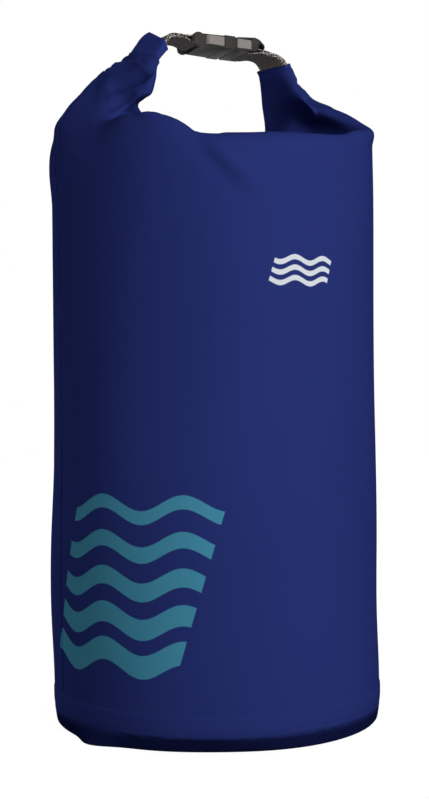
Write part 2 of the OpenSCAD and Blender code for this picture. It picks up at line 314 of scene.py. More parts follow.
# Stops round the tube, from the back at -180 over the front at 0: angle, strength or width
RISE = ((-180, 225), (-135, 215), (-105, 205), (-86, 185), (-68, 175), (-53, 262), (-43, 275), (-30, 215),
        (-12, 185), (2, 205), (14, 190), (32, 150), (65, 86), (110, 150), (180, 225))
RUN = ((-180, 150), (-90, 165), (0, 150), (65, 45), (90, 80), (180, 150))
VALLEY = ((-180, 0), (5, 0), (30, 110), (48, 110), (64, 0), (180, 0))
RIM_HALF = ((-180, 13), (-72, 11), (-65, -1), (-57, -1), (-42, 13), (45, 13), (58, 28), (68, 26), (80, 15),
            (90, 13), (125, 9), (180, 13))
RUN_SLOPE, RUN_AT_FRONT, TURN_UP = 0.65, 150.0, 1.3
RIM_OUT, RIM_BACK, RIM_STEEP = 4.0, 1.0, 3.0
# Stops up the tube: height, share of its radius
GIRTH = ((0, 1.008), (40, 1.010), (120, 1.008), (250, 0.994), (390, 1.0), (440, 1.0))
FOOT_ASIDE, FOOT_FADE = 0.9, 110.0


def corner_share(a):
    off = a - CORNER_AT
    return np.where(abs(off) < CORNER_REACH, np.cos(np.radians(90 * off / CORNER_REACH)), 0) ** 2


def side_share(a):
    return np.where(abs(a) <= 90, a, np.sign(a) * (180 - abs(a))) / 90


def tube_ring(a, z):
    girth = through(z, *GIRTH) * TUBE_R
    aside = (FOOT_ASIDE * ease(1 - z / FOOT_FADE))[..., None] * rightward
    return stack(girth * np.sin(np.radians(a)), -girth * np.cos(np.radians(a)), z) + aside


def shoulder(a, v):
    """The sheet between the shoulder (v = 0) and the roll (v = 1), at angles a round the tube."""
    share, front = side_share(a), np.cos(np.radians(a))
    middle = np.cos(np.radians(90 * share))
    start = tube_ring(a, SHOULDER_Z + CORNER_LIFT * corner_share(a))
    leave = stack(0.0, 0.0, through(a, *RISE))
    across = -np.sign(front) * np.minimum(1, RIM_STEEP * abs(front)) * through(a, *RIM_HALF)
    phi = abs(share) * np.where(share < 0, LEFT_END + RIM_BACK, RIGHT_END - RIM_BACK)
    end = on_band(phi, across, np.full_like(a, RIM_OUT))
    at_side = through(a, *RUN)[..., None] * unit(stack(-share, 0.0, RUN_SLOPE))
    at_front = RUN_AT_FRONT * unit(stack(0.0, np.sign(front), TURN_UP))
    from_below = stack(0.0, 0.0, through(a, *VALLEY))
    arrive = at_side + (at_front - at_side) * middle[..., None] + from_below
    ridge = stack(0.0, 0.0, CORNER_RIDGE * corner_share(a) * math.sin(math.pi * v) ** 2)
    return hermite(v, start, leave, end, arrive) + ridge


COLUMNS, STRAIGHT_ROWS, SHOULDER_ROWS = 192, 60, 44
angles = (np.arange(COLUMNS) * 360 / COLUMNS + 180) % 360 - 180
top = SHOULDER_Z + CORNER_LIFT * corner_share(angles)
straight = [tube_ring(angles, FOOT_Z + (top - FOOT_Z) * k / STRAIGHT_ROWS) for k in range(STRAIGHT_ROWS)]
drawn_in = [shoulder(angles, k / SHOULDER_ROWS) for k in range(SHOULDER_ROWS + 1)]
rows = len(straight) + len(drawn_in)
tube_faces = grid_faces(rows, COLUMNS, 0, True)
tube_faces.append(tuple(range(COLUMNS))[::-1])
rim = (rows - 1) * COLUMNS
for c in range(-COLUMNS // 4, COLUMNS // 4):
    front_pair = (rim + c % COLUMNS, rim + (c + 1) % COLUMNS)
    back_pair = (rim + (COLUMNS // 2 - c - 1) % COLUMNS, rim + (COLUMNS // 2 - c) % COLUMNS)
    tube_faces.append(tuple(dict.fromkeys(front_pair + back_pair)))
skin = mesh_piece("bag_skin", np.concatenate(straight + drawn_in), tube_faces)
face_out(skin)
report(skin)

# %% [markdown]
# ## The roll
# The mouth is a doubled sheet wound about its hem. Its outside is a flat oval swept along the loop.
# At the left end the band's front edge stands out as a flap with a rounded lower corner, and below
# that corner there is a small notch. A curve with a bevel would give one section all along, so the
# rings are made from widths that change on the way.

# %% Sweep of the roll
# Stops along the loop: angle, half thickness, half width or roundness
ROLL_HALF_T = ((LEFT_END, 3.6), (-95, 4.8), (-60, 6.2), (60, 6.4), (95, 6.0), (RIGHT_END, 4.6))
ROLL_BACK = ((LEFT_END, 15), (-90, 18), (55, 17), (72, 13), (104, 18.5), (RIGHT_END, 19))
ROLL_FRONT = ((LEFT_END, 18.2), (-88.5, 12.5), (-87, -1), (-75, -1), (-50, 12), (58, 16), (76, 38), (90, 36),
              (106, 21.5), (RIGHT_END, 16))
ROLL_POWER = ((LEFT_END, 2.2), (-80, 2.4), (-40, 4), (60, 4), (85, 2.6), (RIGHT_END, 2.6))
ROLL_STATIONS, ROLL_SIDES, END_INSET = 120, 32, 0.5


def oval(half, turn, power=4):
    """A flat-sided oval in the band's section; half sizes across and through it."""
    c, s = np.cos(turn), np.sin(turn)
    return half[0] * np.sign(c) * abs(c) ** (2 / power), half[1] * np.sign(s) * abs(s) ** (2 / power)


def roll_section(phi, turn, more=0.0):
    half_w = np.where(np.cos(turn) > 0, through(phi, *ROLL_BACK), through(phi, *ROLL_FRONT)) + more
    return oval((half_w, through(phi, *ROLL_HALF_T) + more), turn, through(phi, *ROLL_POWER))


turns = np.arange(ROLL_SIDES) * 2 * math.pi / ROLL_SIDES
stations = np.linspace(RIGHT_END - END_INSET, LEFT_END + END_INSET, ROLL_STATIONS + 1)
rings = np.stack([on_band(np.full(ROLL_SIDES, phi), *roll_section(np.full(ROLL_SIDES, phi), turns))
                  for phi in stations])
roll_faces = [face[::-1] for face in grid_faces(ROLL_STATIONS + 1, ROLL_SIDES, 0, True)]
last_ring = ROLL_STATIONS * ROLL_SIDES
roll_faces += [tuple(range(ROLL_SIDES)), tuple(range(last_ring, last_ring + ROLL_SIDES))[::-1]]
roll = mesh_piece("roll", rings.reshape(-1, 3), roll_faces)
face_out(roll)
report(roll)

# %% [markdown]
# ## One continuous fabric
# On the real bag the sheet runs from the tube into the roll without an edge. A voxel remesh turns the
# two closed shells into one skin, and the points near the junction are then relaxed, as a smooth
# brush would do. The two arms get a finer mesh, because they carry the small folds.

# %% Merge tube and roll
VOXEL = 2.6
JUNCTION_Z, JUNCTION_OVER, RELAX, RELAX_TIMES = 396.0, 14.0, 0.5, 12
ARMS_Z, ARMS_OVER, ARMS_LESS = 465.0, 15.0, 0.3
FINER_ABOVE, FINER_BESIDE, FINER_TIMES = 440.0, 36.0, 3
FADE_UP, FADE_ASIDE = 6.0, 4.0


def neighbour_mean(points, edges):
    total = np.zeros_like(points)
    count = np.zeros(len(points))
    for a, b in ((edges[:, 0], edges[:, 1]), (edges[:, 1], edges[:, 0])):
        np.add.at(total, a, points[b])
        np.add.at(count, a, 1)
    return total / count[:, None]


def relax(piece, points, weight, times):
    edges = np.zeros(len(piece.data.edges) * 2, int)
    piece.data.edges.foreach_get("vertices", edges)
    edges = edges.reshape(-1, 2)
    for _ in range(times):
        points = points + weight[:, None] * (neighbour_mean(points, edges) - points)
    return points


join(skin, roll)
skin.data.remesh_voxel_size = VOXEL * MM
bpy.ops.object.voxel_remesh()
points = points_of(skin)
near_roll = ease((points[:, 2] - JUNCTION_Z) / JUNCTION_OVER)
strength = RELAX - ARMS_LESS * ease((points[:, 2] - ARMS_Z) / ARMS_OVER)
set_points(skin, relax(skin, points, near_roll * strength, RELAX_TIMES))

centres = np.array([face.center for face in skin.data.polygons]) / MM
arms = (centres[:, 2] > FINER_ABOVE) & (abs(centres[:, 0]) > FINER_BESIDE)
activate(skin)
bpy.ops.object.mode_set(mode="EDIT")
bpy.ops.mesh.select_mode(type="FACE")
bpy.ops.mesh.select_all(action="DESELECT")
bpy.ops.object.mode_set(mode="OBJECT")
skin.data.polygons.foreach_set("select", arms)
bpy.ops.object.mode_set(mode="EDIT")
bpy.ops.mesh.subdivide(number_cuts=1)
bpy.ops.object.mode_set(mode="OBJECT")
points = points_of(skin)
on_arms = ease((points[:, 2] - FINER_ABOVE + FADE_UP) / FADE_UP)
on_arms *= ease((abs(points[:, 0]) - FINER_BESIDE + FADE_ASIDE) / FADE_ASIDE)
set_points(skin, relax(skin, points, RELAX * on_arms, FINER_TIMES))
report(skin)

# %% [markdown]
# ## Pulling the outline into place
# Soft fabric never follows a formula to the end. What is left is done as with a grab brush, seen
# through the camera: a place in the picture, a reach, and how far the fabric there is drawn, all in
# picture pixels. A pull may end at a distance from the eye, so that one on the front leaves the back
# alone. One place is smoothed afterwards.

# %% Grab the outline
FRONT_ONLY, ANY_DISTANCE = 935.0, 2000.0
PULLS = (
    # place, reach, move and, for the front alone, the farthest distance
    ((50, 150), (40, 60), (-4, 0)),
    ((52, 570), (40, 110), (-2.5, 0)),
    ((111, 67), (32, 22), (-5.5, -5)),
    ((120, 62), (16, 11), (-3, -1)),
    ((96, 79), (24, 20), (-4, -1)),
    ((155, 114), (24, 13), (0, -2), FRONT_ONLY),
    ((374, 130), (16, 18), (5, -1)),
    ((252, 137), (40, 22), (0, -3), FRONT_ONLY),
    ((206, 130), (22, 22), (0, 4.5), FRONT_ONLY),
    ((178, 122), (22, 18), (0, -4.5), FRONT_ONLY),
    ((56, 126), (34, 16), (-2.5, 0)),
    ((318, 96), (24, 15), (-6, 2)),
    ((303, 86), (10, 10), (-3, 0)),
    ((345, 112), (26, 14), (-1, 0)),
    ((141, 106), (8, 7), (-3, -1)),
    ((152, 84), (14, 20), (2, 0)),
    ((84, 96), (34, 32), (-4, 0)),
    ((60, 115), (30, 22), (-3.5, 0)),
)
SMOOTHED, SMOOTHED_SHARE, SMOOTHED_TIMES = ((104, 74), (42, 36)), 0.5, 8


def pull(points, place, reach, move, farthest=ANY_DISTANCE):
    pixel, depth = in_picture(points)
    near = np.clip(1 - (((pixel - place) / reach) ** 2).sum(-1), 0, 1) ** 2
    near *= depth < farthest
    scale = (near * depth / FOCAL_PX)[:, None]
    return points + scale * (move[0] * camera_right - move[1] * camera_up)


points = points_of(skin)
for step in PULLS:
    points = pull(points, *step)
from_place = (((in_picture(points)[0] - SMOOTHED[0]) / SMOOTHED[1]) ** 2).sum(-1)
set_points(skin, relax(skin, points, SMOOTHED_SHARE * (1 - ease(from_place)), SMOOTHED_TIMES))
report(skin)

# %% [markdown]
# ## Folds
# A fold is a line in the picture, a width in pixels and a height in millimetres. Fabric that faces
# the camera near the line is raised along its own normal, or pressed in where the height is negative.
# A swell moves the whole sheet, both faces of it, towards the camera or away from it. That leaves the
# outline where it is, and turns the faces of the two wings out of the light. The far sides of the
# wings, which the camera does not see, are smoothed at the end.

# %% Folds and creases
FOLDS = (
    # line, half width, height and, for the front alone, the farthest distance
    (((160, 62), (143, 69), (131, 76), (113, 80), (105, 88), (101, 105)), 8.0, 3.2),
    (((160, 64), (142, 74), (129, 82), (110, 91)), 5.5, -5.0),
    (((142, 86), (122, 92), (106, 100)), 6.0, 1.8),
    (((136, 95), (118, 103), (102, 111)), 5.0, -2.2),
    (((196, 128), (222, 152), (262, 192)), 9.0, 2.2, FRONT_ONLY),
    (((190, 138), (214, 164), (244, 200)), 9.0, -1.1, FRONT_ONLY),
)
SWELLS = (
    # line, half width, height, nearest, farthest
    (((276, 60), (283, 82), (293, 93), (315, 111), (350, 126), (372, 132)), 11.0, 7.0, 950, 1070),
    (((266, 66), (271, 92), (279, 112), (292, 122)), 12.0, -5.0, 950, 1070),
    (((262, 118), (284, 120), (308, 128), (332, 133), (358, 138)), 13.0, -13.0, 950, 1046),
    (((288, 96), (304, 114), (318, 123), (348, 136)), 10.0, -4.0, 950, 1046),
    (((257, 82), (262, 108), (267, 164)), 26.0, -26.0, 950, 1150),
    (((296, 100), (302, 116), (306, 134), (308, 150)), 14.0, -15.0, 950, 1150),
    (((155, 86), (145, 98), (139, 104), (142, 114)), 6.0, 3.0, 900, 1050),
    (((44, 128), (62, 108), (80, 89), (92, 76), (106, 64), (124, 48)), 30.0, -26.0, 890, 1150),
    (((158, 60), (150, 80), (142, 96), (134, 114)), 15.5, 16.0, 890, 1060),
)
SWELL_FADE, SWELL_TAPER, FOLD_TAPER, SETTLE = 18.0, 0.8, 0.6, 0.2
WAVES = (
    # height, waves round the tube, slope up the tube, start
    (0.7, 5, 1 / 130, 0.0),
    (0.42, 9, -1 / 85, 1.3),
    (0.28, 3, 1 / 38, 0.0),
)
WAVES_FROM, WAVES_FULL, WAVES_UNTIL, WAVES_FADE = 30.0, 60.0, 470.0, 90.0
FAR_SIDE = {"turned": 0.1, "fully": 0.4, "above": 425.0, "over": 15.0, "least": 0.01, "times": 60}


def near_line(pixel, line):
    """How far picture points are from a line of several stretches, and how far along it, from 0 to 1."""
    line = np.array(line, float)
    steps = np.linalg.norm(np.diff(line, axis=0), axis=1)
    best, along = np.full(len(pixel), np.inf), np.zeros(len(pixel))
    for k, (a, b) in enumerate(zip(line[:-1], line[1:])):
        t = np.clip(((pixel - a) @ (b - a)) / steps[k] ** 2, 0, 1)
        away = np.linalg.norm(pixel - a - t[:, None] * (b - a), axis=1)
        closer = away < best
        best[closer] = away[closer]
        along[closer] = (steps[:k].sum() + t * steps[k])[closer] / steps.sum()
    return best, along


def swell(points, line, half_width, height, nearest, farthest):
    pixel, depth = in_picture(points)
    away, along = near_line(pixel, line)
    amount = height * np.exp(-((away / half_width) ** 2)) * np.sin(np.pi * along) ** SWELL_TAPER
    amount *= ease((depth - nearest) / SWELL_FADE) * ease((farthest - depth) / SWELL_FADE)
    return points - (amount / depth)[:, None] * (points - eye)


def fold(points, normals, line, half_width, height, farthest=ANY_DISTANCE):
    pixel, depth = in_picture(points)
    away, along = near_line(pixel, line)
    faces_us = ((eye - points) * normals).sum(-1) > 0
    amount = height * np.exp(-((away / half_width) ** 2)) * np.sin(np.pi * along) ** FOLD_TAPER
    amount *= faces_us & (depth < farthest)
    return points + amount[:, None] * normals


def ripple(points):
    """Shallow waves that run up the filled tube, as slack cloth has them."""
    a = np.arctan2(points[:, 0], -points[:, 1])
    z = points[:, 2]
    wave = sum(height * np.sin(count * a + slope * z + start) for height, count, slope, start in WAVES)
    return wave * ease((z - WAVES_FROM) / WAVES_FULL) * ease((WAVES_UNTIL - z) / WAVES_FADE)


points = points_of(skin)
for step in SWELLS:
    points = swell(points, *step)
set_points(skin, points)
normals = vectors_of(skin, "normal")
points = points + ripple(points)[:, None] * normals
for step in FOLDS:
    points = fold(points, normals, *step)
set_points(skin, relax(skin, points, np.full(len(points), SETTLE), 1))
normals, from_eye = vectors_of(skin, "normal"), unit(points - eye)
turned_away = ease(((normals * from_eye).sum(-1) - FAR_SIDE["turned"]) / FAR_SIDE["fully"])
turned_away *= ease((points[:, 2] - FAR_SIDE["above"]) / FAR_SIDE["over"])
far_side = skin.vertex_groups.new(name="far_side")
for k in np.flatnonzero(turned_away > FAR_SIDE["least"]):
    far_side.add([int(k)], float(turned_away[k]), "REPLACE")
apply_modifier(skin, "SMOOTH", factor=0.5, iterations=FAR_SIDE["times"], vertex_group=far_side.name)
skin.vertex_groups.clear()
report(skin)

# %% [markdown]
# ## The base
# A round panel whose rim is welded round the foot of the tube. Its edge is blunt, its underside
# slopes in to where the bag rests, and at the front left a corner of it is pinched out. A bevelled
# cylinder would be too even, so the panel is made of rings that differ a little round the bag.

# %% Base panel
RIM_TOP, EDGE_Z, EDGE_DIP = 26.0, 12.7, 3.0
EDGE_WAVES = ((0.8, 5, 0), (0.5, 11, 40))
PANEL_T, MERGE_WITHIN = 0.9, 0.05
FOOT_R, FOOT_FULLER, FOOT_FRONT, FOOT_SPREAD = 115.2, 4.4, -25.0, 22.0
PINCH, PINCH_AT, PINCH_SPREAD = 8.5, -69.0, 8.0
BASE_COLUMNS = 240


def foot_radius(a):
    """Where the slope of the underside meets the floor."""
    fuller = FOOT_FULLER * (1 - np.exp(-(((a - FOOT_FRONT) / FOOT_SPREAD) ** 2)))
    return FOOT_R + fuller + PINCH * np.exp(-(((a - PINCH_AT) / PINCH_SPREAD) ** 2))


def base_rows(a, inset):
    """Rings of the panel, as radius and height, from the middle of the underside to the top of the rim."""
    foot, wall = foot_radius(a), through(RIM_TOP, *GIRTH) * TUBE_R
    edge = EDGE_Z + sum(high * np.sin(np.radians(count * a + start)) for high, count, start in EDGE_WAVES)
    edge = edge - EDGE_DIP * np.exp(-(((a - PINCH_AT) / (2 * PINCH_SPREAD)) ** 2))
    run = wall - foot
    underside = ((0.0, 0.2), (foot * 0.5, 0.2), (foot * 0.9, 0.0), (foot - 1.2, 0.0), (foot, 0.5))
    slope = ((foot + run * 0.45, edge * 0.45), (foot + run * 0.85, edge - 2), (wall - 0.3, edge))
    welded = ((wall + 0.2, edge + 2), (wall + 0.5, edge + 5),
              (wall + 0.6, RIM_TOP - 2), (wall + 0.45, RIM_TOP))
    rings = [(r - inset, z + inset) for r, z in underside] + [(r - inset, z) for r, z in slope + welded]
    return [stack(r * np.sin(np.radians(a)), -r * np.cos(np.radians(a)), z) + FOOT_ASIDE * rightward
            for r, z in rings]


base_angles = np.arange(BASE_COLUMNS) * 360 / BASE_COLUMNS - 180
outer = np.stack(base_rows(base_angles, 0.0))
inner = np.stack(base_rows(base_angles, PANEL_T))
base = thick_sheet("base_skin", outer, inner, round_grid=True)
edit(base, (bpy.ops.mesh.remove_doubles, {"threshold": MERGE_WITHIN * MM}))
face_out(base)
apply_modifier(base, "SUBSURF", levels=1)
report(base)

# %% [markdown]
# ## The lap seam
# Down the left side the sheet is lapped over itself and welded. A strip is laid where the loft was,
# takes the same pulls and swells as the skin, is drawn onto it with a shrinkwrap, and is given the
# thickness of the sheet.

# %% Lap seam
LAP_FROM, LAP_TO, LAP_COLUMNS = -97.5, -90.0, 6
LAP_FOOT, LAP_ROWS, LAP_TOP, LAP_TOP_ROWS = RIM_TOP + 2, 90, 0.8, 40
LAP_T, LAP_OFF = 0.5, 0.1
lap_angles = np.linspace(LAP_FROM, LAP_TO, LAP_COLUMNS)
lap_rows = [tube_ring(lap_angles, z) for z in np.linspace(LAP_FOOT, SHOULDER_Z, LAP_ROWS, endpoint=False)]
lap_rows += [shoulder(lap_angles, v) for v in np.linspace(0, LAP_TOP, LAP_TOP_ROWS)]
lap_grid = np.stack(lap_rows)
lap_points = lap_grid.reshape(-1, 3)
for step in PULLS:
    lap_points = pull(lap_points, *step)
for step in SWELLS:
    lap_points = swell(lap_points, *step)
lap = mesh_piece("lap_strip", lap_points, grid_faces(*lap_grid.shape[:2]))
apply_modifier(lap, "SHRINKWRAP", target=skin, wrap_method="NEAREST_SURFACEPOINT", offset=LAP_OFF * MM)
apply_modifier(lap, "SOLIDIFY", thickness=LAP_T * MM, offset=1)
face_out(lap)
report(lap)

# %% [markdown]
# ## Ends of the roll
# Seen from its end the roll is a spiral of doubled sheet. Only the ends show it, so a short length is
# wound there, which stands a little out of the skin.

# %% Spiral ends
SPIRAL_TURNS, SPIRAL_STEPS, SPIRAL_T, SPIRAL_INSET = 1.75, 90, 1.1, 0.2
SPIRAL_IN = np.array([13.2, 2.2])
SPIRAL_LENGTH, SPIRAL_OUT, SPIRAL_ROWS = 7.0, 0.3, 6


def spiral_end(name, end):
    """Winds the sheet from the hem outwards, at one end of the roll."""
    wind = np.linspace(-SPIRAL_TURNS, 0, SPIRAL_STEPS)
    share = 1 + wind / SPIRAL_TURNS
    turn = 2 * math.pi * wind + math.pi / 2
    layers = []
    for inward in (0.0, SPIRAL_T):
        grid = []
        for back_from_end in np.linspace(SPIRAL_LENGTH, -SPIRAL_OUT, SPIRAL_ROWS):
            where = np.full(len(wind), end - np.sign(end) * back_from_end)
            core = np.array(oval(SPIRAL_IN, turn))
            outside = np.array(roll_section(where, turn, -SPIRAL_INSET))
            sheet = core + (outside - core) * share
            sheet = sheet * (1 - inward / np.hypot(*sheet))
            grid.append(on_band(where, *sheet))
        layers.append(np.stack(grid))
    return thick_sheet(name, layers[0], layers[1])


roll_ends = spiral_end("roll_ends", LEFT_END)
join(roll_ends, spiral_end("other_end", RIGHT_END))
smooth_shading(roll_ends, 40)
report(roll_ends)

# %% [markdown]
# ## Stiffeners
# Two plastic strips lie flat in the middle of the roll, and keep the mouth straight while it is rolled
# up. They take its twist and its swells, and stay inside it.

# %% Stiffener strips
STRIP_T, STRIP_GAP, STRIP_SWEEP = 0.9, 0.1, 111.0
STRIP_ROWS, STRIP_COLUMNS = 80, 5
STRIP_FRONT = ((-STRIP_SWEEP, 0), (-98, 5), (-88, 9), (-70, 7), (-45, -2), (-25, -6), (STRIP_SWEEP, -9))
STRIP_BACK = ((-STRIP_SWEEP, 11), (-90, 13), (50, 12), (72, 8), (100, 12), (STRIP_SWEEP, 12))


def strip_piece(name, way):
    phi = np.linspace(STRIP_SWEEP, -STRIP_SWEEP, STRIP_ROWS)[:, None] * np.ones((1, STRIP_COLUMNS))
    front, back = through(phi, *STRIP_FRONT), through(phi, *STRIP_BACK)
    across = front + (back - front) * np.linspace(0, 1, STRIP_COLUMNS)[None, :]
    sheets = [on_band(phi, across, np.full_like(phi, way * (STRIP_GAP + t))) for t in (STRIP_T, 0.0)]
    return thick_sheet(name, *sheets)


strips = {"front_stiffener": strip_piece("front_strip", 1), "back_stiffener": strip_piece("back_strip", -1)}
for piece in strips.values():
    points = points_of(piece)
    for step in SWELLS:
        points = swell(points, *step)
    set_points(piece, points)
    report(piece)

# %% [markdown]
# ## Cuffs and webbing
# The hem is a flat sleeve. At the left it comes out of the roll and bends over to the buckle; at the
# right only its mouth shows. The webbing comes out of these cuffs, doubled, and goes round a bar of
# the buckle. Both are swept along a line in the loop's plane and start with the twist of the band. The
# webbing's twist fades towards the buckle, because the buckle lies level.

# %% Sweeps in the loop's plane
BUCKLE = {"socket_bar": np.array([-13.9, 93.7]), "plug_bar": np.array([30.65, 90.45])}
BAR_R, STRAP_T, STRAP_HALF = 1.9, 1.2, 12.5
LEFT_LINE = np.array([(-54.6, 71.0), (-52.4, 78.0), (-47.4, 85.4), (-41.3, 92.0), (-34.0, 95.0),
                      (-24.0, 95.2), BUCKLE["socket_bar"]])
RIGHT_LINE = np.array([(58.6, 74.0), (57.8, 79.0), (55.8, 82.4), (50.9, 86.8), (44.8, 89.6), (38.0, 90.3),
                       BUCKLE["plug_bar"]])
CUFFS = {"left": {"line": LEFT_LINE, "hand": -1, "end": 0.50, "twist": 27, "slant": 0.14},
         "right": {"line": RIGHT_LINE, "hand": 1, "end": 0.21, "twist": 20, "slant": 0.17}}
CUFF_HALF_W, CUFF_HALF_T, CUFF_OPEN, CUFF_WALL = 14.4, 2.6, 2.1, 0.8
CUFF_ROWS, CUFF_SIDES, CUFF_POWER = 24, 40, 5


def spline(line, share):
    """A smooth curve through the points of a line, at shares of its length from 0 to 1."""
    steps = np.linalg.norm(np.diff(line, axis=0), axis=1)
    at = np.concatenate([[0], np.cumsum(steps)]) / steps.sum()
    slope = np.gradient(line, at, axis=0)
    k = np.clip(np.searchsorted(at, share) - 1, 0, len(at) - 2)
    span = (at[k + 1] - at[k])[:, None]
    t = ((share - at[k])[:, None]) / span
    return hermite(t, line[k], span * slope[k], line[k + 1], span * slope[k + 1])


def beside(path, hand):
    """Unit vectors away from the loop, for a path from the left (-1) or right (1) end of the roll."""
    along = unit(np.gradient(path, axis=0))
    return hand * stack(along[:, 1], -along[:, 0])


def place(path, normal, twist, across, outward, slant=0.0):
    """Points of a band that follows a path: rows along the path, columns of (across, outward)."""
    across, outward = np.broadcast_arrays(across, outward)
    along = unit(np.gradient(path, axis=0))
    cos_t, sin_t = np.cos(twist)[:, None], np.sin(twist)[:, None]
    level = across * cos_t - outward * sin_t
    away, ahead = across * sin_t + outward * cos_t, slant * across
    return in_bag(stack(path[:, 0:1] + away * normal[:, 0:1] + ahead * along[:, 0:1], level,
                        path[:, 1:2] + away * normal[:, 1:2] + ahead * along[:, 1:2]))


def cuff(name, line, hand, end, twist, slant):
    """A flat sleeve that opens a little towards its mouth, which is cut at a slant."""
    share = np.linspace(0, 1, CUFF_ROWS)
    path = spline(line, share * end)
    turned = np.full(CUFF_ROWS, -hand * math.radians(twist))
    turn = (np.arange(CUFF_SIDES) * 2 * math.pi / CUFF_SIDES)[None, :]
    half_t = (CUFF_HALF_T + CUFF_OPEN * share**2)[:, None]
    walls = []
    for less in (0.0, CUFF_WALL):
        section = oval((CUFF_HALF_W - less, half_t - less), turn, CUFF_POWER)
        walls.append(place(path, beside(path, hand), turned, *section, slant))
    return thick_sheet(name, *walls, round_grid=True)


cuffs = cuff("hem_cuffs", **CUFFS["left"])
join(cuffs, cuff("right_cuff", **CUFFS["right"]))
smooth_shading(cuffs, 40)
report(cuffs)

# %% [markdown]
# ## Webbing
# A strap is a woven ribbon with softer edges. Out of the cuff it lies double. Near the buckle its two
# layers part, go round the bar and meet again. Each point keeps its place on the ribbon as an
# attribute, so that the weave of its finish can follow the strap.

# %% Webbing
STRAP_COLUMNS = np.array([-1, -0.97, -0.9, -0.5, 0, 0.5, 0.9, 0.97, 1]) * STRAP_HALF
STRAP_EDGE = np.array([0.45, 0.85, 1, 1, 1, 1, 1, 0.85, 0.45])
BAR_GAP, STRAP_FROM, STRAP_ROWS, BEND_ROWS = 0.15, 0.1, 60, 15
NARROW, WIDE, OPENS_OVER = 0.86, BAR_R + BAR_GAP + STRAP_T / 2, 11.0
FULLER, FULLER_FROM = 0.4, 0.4


def webbing(name, line, hand, twist, twist_at, level_at):
    """A ribbon that runs to the bar at the end of its line, round it, and back."""
    share = np.linspace(STRAP_FROM, 1, STRAP_ROWS)
    path = spline(line, share)
    normal = beside(path, hand)
    twist = -hand * np.radians(twist) * ease((level_at - share) / (level_at - twist_at))
    to_bar = np.linalg.norm(path - path[-1], axis=1)
    offset = NARROW + (WIDE - NARROW) * ease(1 - to_bar / OPENS_OVER)
    along = unit(path[-1] - path[-2])
    swing = np.linspace(math.pi / 2, -math.pi / 2, BEND_ROWS)[1:-1]
    faces = []
    full = (1 + FULLER * ease(to_bar / OPENS_OVER - FULLER_FROM))[:, None]
    for layer in (STRAP_T / 2, -STRAP_T / 2):
        thick = layer * STRAP_EDGE[None, :]
        out = place(path, normal, twist, STRAP_COLUMNS[None, :], offset[:, None] + thick * full)
        back = place(path, normal, twist, STRAP_COLUMNS[None, :], -offset[:, None] - thick * full)[::-1]
        ring = []
        for t in swing:
            from_bar = math.cos(t) * along + math.sin(t) * normal[-1]
            bend = path[-1] + (WIDE + thick[0])[:, None] * from_bar
            ring.append(in_bag(stack(bend[:, 0], STRAP_COLUMNS, bend[:, 1])))
        faces.append(np.concatenate([out, ring, back]))
    strap = thick_sheet(name, *faces)
    steps = np.linalg.norm(np.diff(faces[0].mean(1), axis=0), axis=1)
    length = np.concatenate([[0], np.cumsum(steps)])[:, None]
    lie = stack(length, STRAP_COLUMNS[None, :], 0.0).reshape(-1, 3)
    on_ribbon = strap.data.attributes.new("strap", "FLOAT_VECTOR", "POINT")
    on_ribbon.data.foreach_set("vector", np.tile(lie, (2, 1)).ravel())
    return strap


left_strap = webbing("left_strap", LEFT_LINE, -1, twist=27, twist_at=0.42, level_at=0.62)
right_strap = webbing("right_strap", RIGHT_LINE, 1, twist=22, twist_at=0.21, level_at=0.6)
for strap in (left_strap, right_strap):
    smooth_shading(strap, 40)
    report(strap)

# %% [markdown]
# ## The buckle
# The moulded parts have their shape already. Each is copied, its triangles are merged back into flat
# faces, and its edges are rounded with a bevel, as a mould would leave them. Two places are then drawn
# out a little with the same grab as the fabric.

# %% Moulded parts
EDGE_ROUND, LEVER_ROUND, BEVEL_FROM = 0.45, 1.1, math.radians(28)
DOUBLES_WITHIN, FLAT_WITHIN = 0.02, math.radians(1)
# place, reach and move in the picture
PLUG_PULL = ((256, 43), (16, 16), (4, -2))
LEVER_PULL = ((249, 45), (8, 12), (4, 0.5))


def moulded(node, name, width):
    source = frame["nodes"][node]
    mesh = source.data.copy()
    mesh.transform(source.matrix_world)
    piece = bpy.data.objects.new(name, mesh)
    bpy.context.scene.collection.objects.link(piece)
    mesh.materials.clear()
    edit(piece, (bpy.ops.mesh.remove_doubles, {"threshold": DOUBLES_WITHIN * MM}),
         (bpy.ops.mesh.dissolve_limited, {"angle_limit": FLAT_WITHIN}))
    face_out(piece)
    apply_modifier(piece, "BEVEL", width=width * MM, segments=3, limit_method="ANGLE", angle_limit=BEVEL_FROM)
    apply_modifier(piece, "TRIANGULATE")
    smooth_shading(piece, 32)
    return piece


socket = moulded("buckle_socket", "socket_shell", EDGE_ROUND)
plug = moulded("buckle_plug", "plug_shell", EDGE_ROUND)
levers = {node: moulded(node, node + "_shell", LEVER_ROUND) for node in ("front_lever", "back_lever")}
for piece, step in ((plug, PLUG_PULL), (levers["front_lever"], LEVER_PULL)):
    set_points(piece, pull(points_of(piece), *step))
for piece in (socket, plug, *levers.values()):
    report(piece)

# %% [markdown]
# ## Finishes
# A finish is a material made of nodes: numbers that are worked out for each place on a surface. These
# helpers add one node each and join it to what is given, so that a finish reads like a sum.

# %% Helpers for finishes


def feed(tree, socket_in, value):
    """Gives an input a plain value or another node's output."""
    if isinstance(value, bpy.types.NodeSocket):
        tree.links.new(value, socket_in)
    else:
        socket_in.default_value = value


def calc(tree, operation, *values):
    """A Math node."""
    node = tree.nodes.new("ShaderNodeMath")
    node.operation = operation
    for socket_in, value in zip(node.inputs, values):
        feed(tree, socket_in, value)
    return node.outputs[0]


